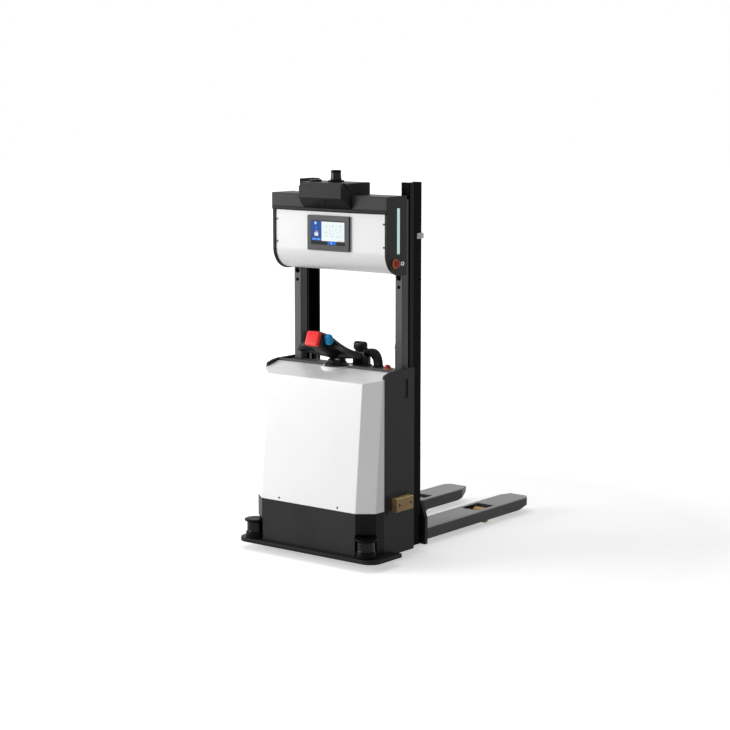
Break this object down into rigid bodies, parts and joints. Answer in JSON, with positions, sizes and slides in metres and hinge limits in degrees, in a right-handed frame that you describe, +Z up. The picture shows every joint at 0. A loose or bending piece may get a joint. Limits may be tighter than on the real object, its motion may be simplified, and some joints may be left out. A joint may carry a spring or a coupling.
{
  "type": "autonomous pallet stacker robot",
  "caption": "Laser-guided pallet stacker robot with a white leaning front cover, telescoping-rod chain lift, pallet forks on support legs, sensor head, tiller and corner scanners.",
  "frame": {"origin": "on the floor, at the plan centre of the whole machine", "axes": "+Z up, forks point to +Y, white front cover faces -Y, charging contact on the +X side"},
  "size_m": [0.882, 1.646, 1.9183],
  "materials": {
    "frame_steel": "black powder coat",
    "skirt_black": "black powder coat",
    "white_shell": "white, smooth",
    "panel_black": "black, satin",
    "deck_grey": "dark grey, fine texture",
    "rail_steel": "black, satin",
    "post_grey": "dark grey, satin",
    "fork_grey": "dark grey, satin",
    "barrel_black": "black, gloss",
    "rod_chrome": "polished",
    "roller_steel": "turned",
    "chain_steel": "oiled",
    "amber_tread": "amber polyurethane",
    "dark_tread": "dark polyurethane",
    "cast_metal": "black, cast",
    "motor_metal": "dark grey, cast",
    "battery_case": "dark grey",
    "scanner_black": "black, smooth",
    "brass_contact": "satin",
    "head_black": "black, fine texture",
    "lens_black": "dark lens",
    "screen_glass": "smooth",
    "light_white": "diffuser",
    "collar_yellow": "amber yellow",
    "button_red": "red",
    "knob_black": "black",
    "sensor_grey": "light grey",
    "tiller_black": "black, fine texture",
    "throttle_blue": "blue",
    "plug_black": "black",
    "hose_black": "black, corrugated",
    "screw_steel": "dark zinc"
  },
  "bodies": {
    "chassis": {"base_frame": "frame_steel", "battery_pack": "battery_case", "bumper_plate": "frame_steel", "chain_front": "chain_steel", "charge_contact": "brass_contact", "conduit": "hose_black", "control_box": "battery_case", "deck_connector": "plug_black", "deck_estop_collar": "collar_yellow", "display": "head_black", "display_screen": "screen_glass", "front_cover": "white_shell", "head_cap": "head_black", "head_cheek_left": "panel_black", "head_cheek_right": "panel_black", "head_estop_collar": "collar_yellow", "head_frame": "post_grey", "head_panel": "white_shell", "height_sensor": "sensor_grey", "hydraulic_unit": "motor_metal", "lift_barrels": "barrel_black", "light_bars": "light_white", "lower_skirt": "skirt_black", "mast_rail_left": "rail_steel", "mast_rail_right": "rail_steel", "nav_lidar": "scanner_black", "nose_camera": "lens_black", "nose_housing": "head_black", "scanner_left": "scanner_black", "scanner_right": "scanner_black", "screws": "screw_steel", "side_panel_left": "panel_black", "side_panel_right": "panel_black", "steer_motor": "motor_metal", "top_deck": "deck_grey"},
    "carriage": {"lift_carriage": "rail_steel", "fork_left": "fork_grey", "fork_right": "fork_grey", "chain_rear": "chain_steel"},
    "rods": {"lift_rods": "rod_chrome", "chain_wraps": "chain_steel"},
    "sheaves": {"chain_sheaves": "roller_steel"},
    "rollers_lower": {"guide_rollers_lower": "roller_steel"},
    "rollers_upper": {"guide_rollers_upper": "roller_steel"},
    "roller_left": {"load_roller_left": "amber_tread"},
    "roller_right": {"load_roller_right": "amber_tread"},
    "drive_head": {"drive_yoke": "cast_metal", "drive_motor": "motor_metal"},
    "drive_wheel": {"drive_wheel": "dark_tread"},
    "swivel_left": {"caster_fork_left": "cast_metal"},
    "swivel_right": {"caster_fork_right": "cast_metal"},
    "caster_left": {"caster_wheel_left": "dark_tread"},
    "caster_right": {"caster_wheel_right": "dark_tread"},
    "tiller_base": {"tiller_pedestal": "tiller_black"},
    "tiller": {"tiller_head": "tiller_black"},
    "belly": {"belly_button": "button_red"},
    "throttle": {"throttle_wheels": "throttle_blue"},
    "head_stop": {"head_estop_button": "button_red"},
    "deck_stop": {"deck_estop_button": "button_red"},
    "key": {"key_switch": "knob_black"}
  },
  "joints": [
    {"name": "lift", "type": "slide", "parent": "chassis", "child": "carriage", "axis": [0, 0, 1], "range_m": [0, 1.5], "deforming": ["chain_rear"]},
    {"name": "rods_rise", "type": "slide", "parent": "chassis", "child": "rods", "axis": [0, 0, 1], "range_m": [0, 0.75], "deforming": ["chain_front"]},
    {"name": "sheaves_turn", "type": "hinge", "parent": "rods", "child": "sheaves", "pos_m": [0, -0.396, 1.05], "axis": [1, 0, 0], "range_deg": [0, 1592]},
    {"name": "rollers_lower_turn", "type": "hinge", "parent": "carriage", "child": "rollers_lower", "pos_m": [0, -0.364, 0.11], "axis": [1, 0, 0], "range_deg": [0, 2251]},
    {"name": "rollers_upper_turn", "type": "hinge", "parent": "carriage", "child": "rollers_upper", "pos_m": [0, -0.364, 0.31], "axis": [1, 0, 0], "range_deg": [-2251, 0]},
    {"name": "load_roller_left_turn", "type": "hinge", "parent": "chassis", "child": "roller_left", "pos_m": [-0.204, 0.429, 0.04], "axis": [1, 0, 0], "continuous": true},
    {"name": "load_roller_right_turn", "type": "hinge", "parent": "chassis", "child": "roller_right", "pos_m": [0.204, 0.429, 0.04], "axis": [1, 0, 0], "continuous": true},
    {"name": "drive_steer", "type": "hinge", "parent": "chassis", "child": "drive_head", "pos_m": [0, -0.588, 0.262], "axis": [0, 0, 1], "range_deg": [-90, 90]},
    {"name": "drive_wheel_turn", "type": "hinge", "parent": "drive_head", "child": "drive_wheel", "pos_m": [0, -0.588, 0.105], "axis": [1, 0, 0], "continuous": true},
    {"name": "caster_left_swivel", "type": "hinge", "parent": "chassis", "child": "swivel_left", "pos_m": [-0.235, -0.595, 0.14], "axis": [0, 0, 1], "continuous": true},
    {"name": "caster_right_swivel", "type": "hinge", "parent": "chassis", "child": "swivel_right", "pos_m": [0.235, -0.595, 0.14], "axis": [0, 0, 1], "continuous": true},
    {"name": "caster_left_turn", "type": "hinge", "parent": "swivel_left", "child": "caster_left", "pos_m": [-0.235, -0.56, 0.05], "axis": [1, 0, 0], "continuous": true},
    {"name": "caster_right_turn", "type": "hinge", "parent": "swivel_right", "child": "caster_right", "pos_m": [0.235, -0.56, 0.05], "axis": [1, 0, 0], "continuous": true},
    {"name": "tiller_steer", "type": "hinge", "parent": "chassis", "child": "tiller_base", "pos_m": [0, -0.547, 0.95], "axis": [0, 0, 1], "range_deg": [-30, 30]},
    {"name": "tiller_tilt", "type": "hinge", "parent": "tiller_base", "child": "tiller", "pos_m": [0, -0.547, 0.995], "axis": [-1, 0, 0], "range_deg": [0, 40]},
    {"name": "belly_press", "type": "slide", "parent": "tiller", "child": "belly", "axis": [0, 1, 0], "range_m": [0, 0.008], "stiffness_N_per_m": 500, "springref_m": -0.004},
    {"name": "throttle_turn", "type": "hinge", "parent": "tiller", "child": "throttle", "pos_m": [0, -0.679, 1.096], "axis": [1, 0, 0], "range_deg": [-25, 25], "stiffness_Nm_per_rad": 0.4},
    {"name": "head_stop_press", "type": "slide", "parent": "chassis", "child": "head_stop", "axis": [-1, 0, 0], "range_m": [0, 0.004], "stiffness_N_per_m": 1500, "springref_m": -0.002},
    {"name": "deck_stop_press", "type": "slide", "parent": "chassis", "child": "deck_stop", "axis": [0, 0, -1], "range_m": [0, 0.004], "stiffness_N_per_m": 1500, "springref_m": -0.002},
    {"name": "key_turn", "type": "hinge", "parent": "chassis", "child": "key", "pos_m": [0.362, -0.504, 1.475], "axis": [1, 0, 0], "range_deg": [0, 90]}
  ],
  "couplings": [
    {"joint": "rods_rise", "follows": "lift", "ratio": 0.5},
    {"joint": "sheaves_turn", "follows": "lift", "rad_per_m": 18.518},
    {"joint": "rollers_lower_turn", "follows": "lift", "rad_per_m": 26.178},
    {"joint": "rollers_upper_turn", "follows": "lift", "rad_per_m": -26.178}
  ]
}
